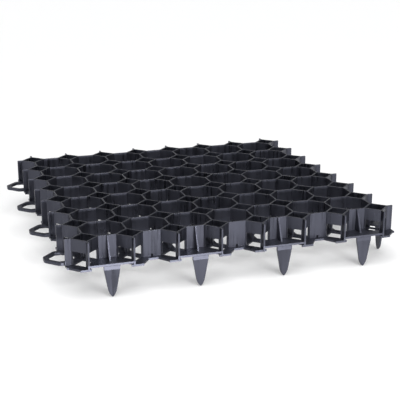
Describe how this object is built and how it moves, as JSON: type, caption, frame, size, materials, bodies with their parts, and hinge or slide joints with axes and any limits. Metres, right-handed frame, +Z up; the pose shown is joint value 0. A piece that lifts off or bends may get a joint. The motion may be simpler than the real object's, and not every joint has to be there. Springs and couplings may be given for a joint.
{
  "type": "plastic gravel grid",
  "caption": "Square plastic tile of upright octagonal cells that holds gravel in place, with ground spikes on two edges and joining loops on the other two.",
  "frame": {"origin": "centre of the 500 mm laying module, on the underside of the base ring, which is the plane the tile lies on", "axes": "+Z up, out of the open tops of the cells; +X along the front edge towards the right edge; the spiked edges are at -Y (front) and +X (right), the loops at +Y (back) and -X (left)"},
  "size_m": [0.516, 0.516, 0.0796],
  "materials": {
    "hdpe": "black injection-moulded polyethylene, satin with a faint blue-grey sheen"
  },
  "bodies": {
    "root": {"gravel_grid": "hdpe"}
  },
  "joints": []
}
